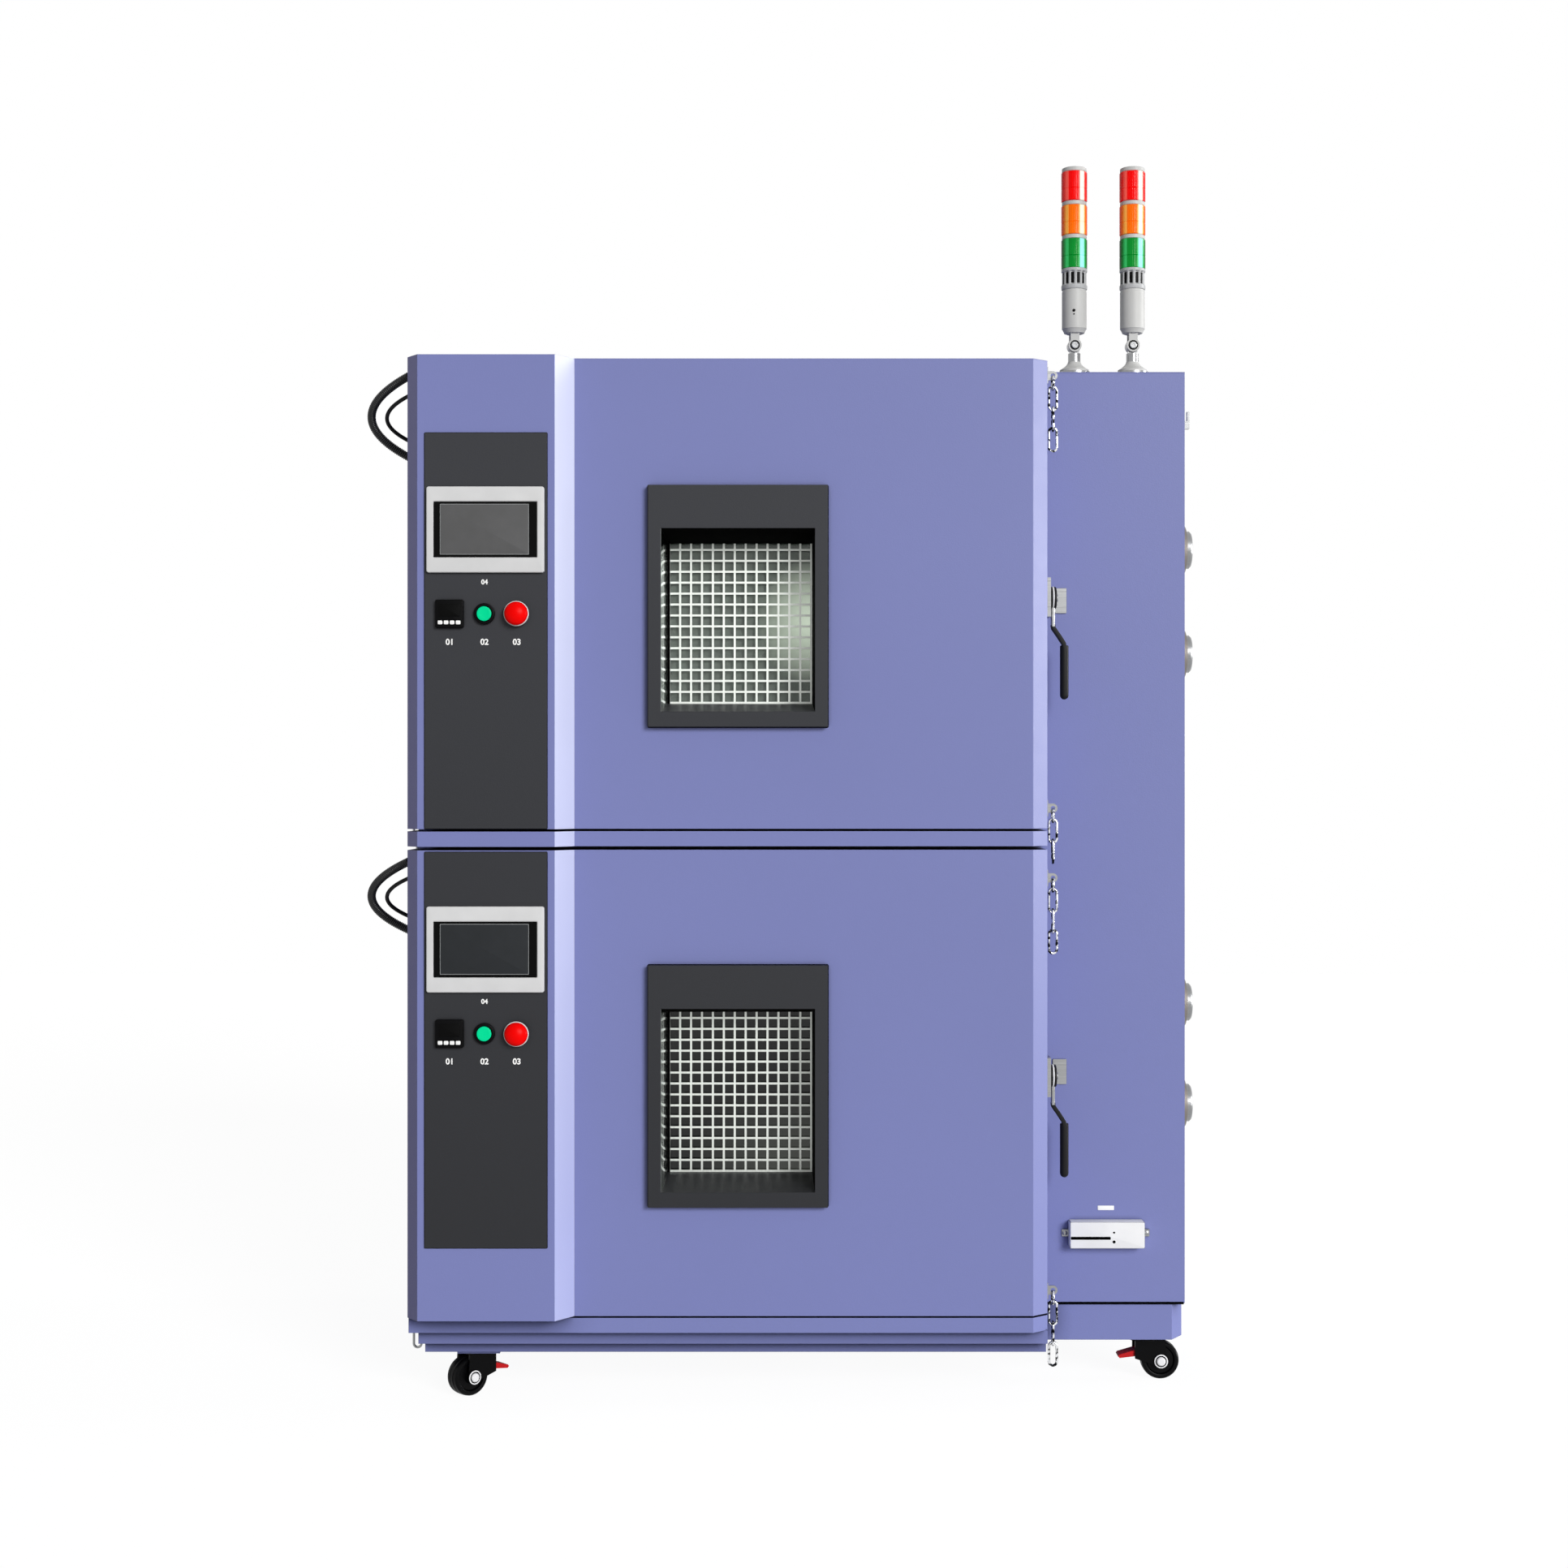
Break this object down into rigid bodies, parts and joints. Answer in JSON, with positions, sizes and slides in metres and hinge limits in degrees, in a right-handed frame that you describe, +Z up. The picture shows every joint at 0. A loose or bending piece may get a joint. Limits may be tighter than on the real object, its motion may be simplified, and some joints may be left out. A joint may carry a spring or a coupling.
{
  "type": "explosion-proof oven",
  "caption": "Double-deck explosion-proof drying oven on casters with chained doors, wire-guarded windows, control columns, side cable ports and folding signal towers",
  "frame": {"origin": "on the floor, under the middle of the whole machine", "axes": "+Z up, -Y is the side with the doors, +X is the side with the service bay and ports"},
  "size_m": [1.4725, 1.0975, 2.166],
  "materials": {
    "cabinet_paint": "satin",
    "liner_steel": "satin",
    "insulation_wool": "matte",
    "motor_grey": "satin",
    "fitting_steel": "satin",
    "dark_plate": "satin",
    "pane": "gloss",
    "instrument_grey": "satin",
    "button_green": "satin",
    "button_red": "satin",
    "lever_black": "satin",
    "chain_steel": "polished",
    "conduit_black": "matte",
    "tower_white": "satin",
    "caster_black": "satin",
    "wheel_black": "matte",
    "pedal_red": "satin"
  },
  "bodies": {
    "cabinet": {"side_panels": "cabinet_paint", "roof_panel": "cabinet_paint", "rear_panel": "cabinet_paint", "service_panel": "cabinet_paint", "front_frame": "cabinet_paint", "base_frame": "cabinet_paint", "chamber_liners": "liner_steel", "shelf_racks": "liner_steel", "insulation": "insulation_wool", "fan_motors": "motor_grey", "port_tubes": "fitting_steel", "cabinet_fittings": "fitting_steel", "upper_conduit": "conduit_black", "lower_conduit": "conduit_black"},
    "upper_door": {"upper_door_shell": "cabinet_paint", "upper_inner_panel": "liner_steel", "upper_window_bezel": "dark_plate", "upper_window_glass": "pane", "upper_window_guard": "fitting_steel", "upper_control_plate": "dark_plate", "upper_instruments": "instrument_grey", "upper_door_fittings": "fitting_steel", "upper_chains": "chain_steel"},
    "upper_handle": {"upper_handle": "lever_black"},
    "upper_green_button": {"upper_green_button": "button_green"},
    "upper_stop_button": {"upper_stop_button": "button_red"},
    "upper_fan": {"upper_fan": "fitting_steel"},
    "upper_shelf": {"upper_shelf": "liner_steel"},
    "upper_relief_hatch": {"upper_relief_hatch": "cabinet_paint"},
    "lower_door": {"lower_door_shell": "cabinet_paint", "lower_inner_panel": "liner_steel", "lower_window_bezel": "dark_plate", "lower_window_glass": "pane", "lower_window_guard": "fitting_steel", "lower_control_plate": "dark_plate", "lower_instruments": "instrument_grey", "lower_door_fittings": "fitting_steel", "lower_chains": "chain_steel"},
    "lower_handle": {"lower_handle": "lever_black"},
    "lower_green_button": {"lower_green_button": "button_green"},
    "lower_stop_button": {"lower_stop_button": "button_red"},
    "lower_fan": {"lower_fan": "fitting_steel"},
    "lower_shelf": {"lower_shelf": "liner_steel"},
    "lower_relief_hatch": {"lower_relief_hatch": "cabinet_paint"},
    "port_cap_1": {"port_cap_1": "fitting_steel"},
    "port_cap_2": {"port_cap_2": "fitting_steel"},
    "port_cap_3": {"port_cap_3": "fitting_steel"},
    "port_cap_4": {"port_cap_4": "fitting_steel"},
    "left_tower": {"left_tower": "tower_white"},
    "right_tower": {"right_tower": "tower_white"},
    "front_left_fork": {"front_left_fork": "caster_black"},
    "front_left_wheel": {"front_left_wheel": "wheel_black"},
    "front_right_fork": {"front_right_fork": "caster_black"},
    "front_right_wheel": {"front_right_wheel": "wheel_black"},
    "rear_left_fork": {"rear_left_fork": "caster_black"},
    "rear_left_wheel": {"rear_left_wheel": "wheel_black"},
    "rear_right_fork": {"rear_right_fork": "caster_black"},
    "rear_right_wheel": {"rear_right_wheel": "wheel_black"},
    "front_left_pedal": {"front_left_pedal": "pedal_red"},
    "front_right_pedal": {"front_right_pedal": "pedal_red"}
  },
  "joints": [
    {"name": "upper_door_hinge", "type": "hinge", "parent": "cabinet", "child": "upper_door", "pos_m": [-0.644, -0.368, 1.393], "axis": [0, 0, -1], "range_deg": [0, 105], "deforming": ["upper_conduit"]},
    {"name": "upper_handle_turn", "type": "hinge", "parent": "upper_door", "child": "upper_handle", "pos_m": [0.461, -0.4, 1.391], "axis": [-1, 0, 0], "range_deg": [0, 90]},
    {"name": "upper_green_push", "type": "slide", "parent": "upper_door", "child": "upper_green_button", "axis": [0, 1, 0], "range_m": [0, 0.003], "stiffness_N_per_m": 400},
    {"name": "upper_stop_push", "type": "slide", "parent": "upper_door", "child": "upper_stop_button", "axis": [0, 1, 0], "range_m": [0, 0.005], "stiffness_N_per_m": 600},
    {"name": "upper_fan_spin", "type": "hinge", "parent": "cabinet", "child": "upper_fan", "pos_m": [0.35, 0.097, 1.385], "axis": [1, 0, 0], "continuous": true},
    {"name": "upper_shelf_slide", "type": "slide", "parent": "cabinet", "child": "upper_shelf", "axis": [0, -1, 0], "range_m": [0, 0.04]},
    {"name": "upper_hatch_hinge", "type": "hinge", "parent": "cabinet", "child": "upper_relief_hatch", "pos_m": [-0.104, 0.5003, 1.515], "axis": [1, 0, 0], "range_deg": [0, 60]},
    {"name": "lower_door_hinge", "type": "hinge", "parent": "cabinet", "child": "lower_door", "pos_m": [-0.644, -0.368, 0.5525], "axis": [0, 0, -1], "range_deg": [0, 105], "deforming": ["lower_conduit"]},
    {"name": "lower_handle_turn", "type": "hinge", "parent": "lower_door", "child": "lower_handle", "pos_m": [0.461, -0.4, 0.556], "axis": [-1, 0, 0], "range_deg": [0, 90]},
    {"name": "lower_green_push", "type": "slide", "parent": "lower_door", "child": "lower_green_button", "axis": [0, 1, 0], "range_m": [0, 0.003], "stiffness_N_per_m": 400},
    {"name": "lower_stop_push", "type": "slide", "parent": "lower_door", "child": "lower_stop_button", "axis": [0, 1, 0], "range_m": [0, 0.005], "stiffness_N_per_m": 600},
    {"name": "lower_fan_spin", "type": "hinge", "parent": "cabinet", "child": "lower_fan", "pos_m": [0.35, 0.097, 0.55], "axis": [1, 0, 0], "continuous": true},
    {"name": "lower_shelf_slide", "type": "slide", "parent": "cabinet", "child": "lower_shelf", "axis": [0, -1, 0], "range_m": [0, 0.04]},
    {"name": "lower_hatch_hinge", "type": "hinge", "parent": "cabinet", "child": "lower_relief_hatch", "pos_m": [-0.104, 0.5003, 0.68], "axis": [1, 0, 0], "range_deg": [0, 60]},
    {"name": "cap_1_pull", "type": "slide", "parent": "cabinet", "child": "port_cap_1", "axis": [1, 0, 0], "range_m": [0, 0.04]},
    {"name": "cap_2_pull", "type": "slide", "parent": "cabinet", "child": "port_cap_2", "axis": [1, 0, 0], "range_m": [0, 0.04]},
    {"name": "cap_3_pull", "type": "slide", "parent": "cabinet", "child": "port_cap_3", "axis": [1, 0, 0], "range_m": [0, 0.04]},
    {"name": "cap_4_pull", "type": "slide", "parent": "cabinet", "child": "port_cap_4", "axis": [1, 0, 0], "range_m": [0, 0.04]},
    {"name": "left_tower_fold", "type": "hinge", "parent": "cabinet", "child": "left_tower", "pos_m": [0.51, -0.301, 1.849], "axis": [0, -1, 0], "range_deg": [0, 90]},
    {"name": "right_tower_fold", "type": "hinge", "parent": "cabinet", "child": "right_tower", "pos_m": [0.614, -0.301, 1.849], "axis": [0, 1, 0], "range_deg": [0, 90]},
    {"name": "front_left_swivel", "type": "hinge", "parent": "cabinet", "child": "front_left_fork", "pos_m": [-0.54, -0.386, 0.0735], "axis": [0, 0, 1], "continuous": true},
    {"name": "front_left_roll", "type": "hinge", "parent": "front_left_fork", "child": "front_left_wheel", "pos_m": [-0.56145, -0.404, 0.034], "axis": [0.6428, -0.766, 0], "continuous": true},
    {"name": "front_right_swivel", "type": "hinge", "parent": "cabinet", "child": "front_right_fork", "pos_m": [0.637, -0.28, 0.0735], "axis": [0, 0, 1], "continuous": true},
    {"name": "front_right_roll", "type": "hinge", "parent": "front_right_fork", "child": "front_right_wheel", "pos_m": [0.665, -0.28, 0.034], "axis": [0, 1, 0], "continuous": true},
    {"name": "rear_left_swivel", "type": "hinge", "parent": "cabinet", "child": "rear_left_fork", "pos_m": [-0.54, 0.412, 0.0735], "axis": [0, 0, 1], "continuous": true},
    {"name": "rear_left_roll", "type": "hinge", "parent": "rear_left_fork", "child": "rear_left_wheel", "pos_m": [-0.51369, 0.42158, 0.034], "axis": [-0.342, 0.9397, 0], "continuous": true},
    {"name": "rear_right_swivel", "type": "hinge", "parent": "cabinet", "child": "rear_right_fork", "pos_m": [0.637, 0.412, 0.0735], "axis": [0, 0, 1], "continuous": true},
    {"name": "rear_right_roll", "type": "hinge", "parent": "rear_right_fork", "child": "rear_right_wheel", "pos_m": [0.66331, 0.40242, 0.034], "axis": [0.342, 0.9397, 0], "continuous": true},
    {"name": "front_left_brake", "type": "hinge", "parent": "front_left_fork", "child": "front_left_pedal", "pos_m": [-0.53081, -0.37829, 0.048], "axis": [-0.6428, 0.766, 0], "range_deg": [0, 12]},
    {"name": "front_right_brake", "type": "hinge", "parent": "front_right_fork", "child": "front_right_pedal", "pos_m": [0.625, -0.28, 0.048], "axis": [0, -1, 0], "range_deg": [0, 12]}
  ]
}
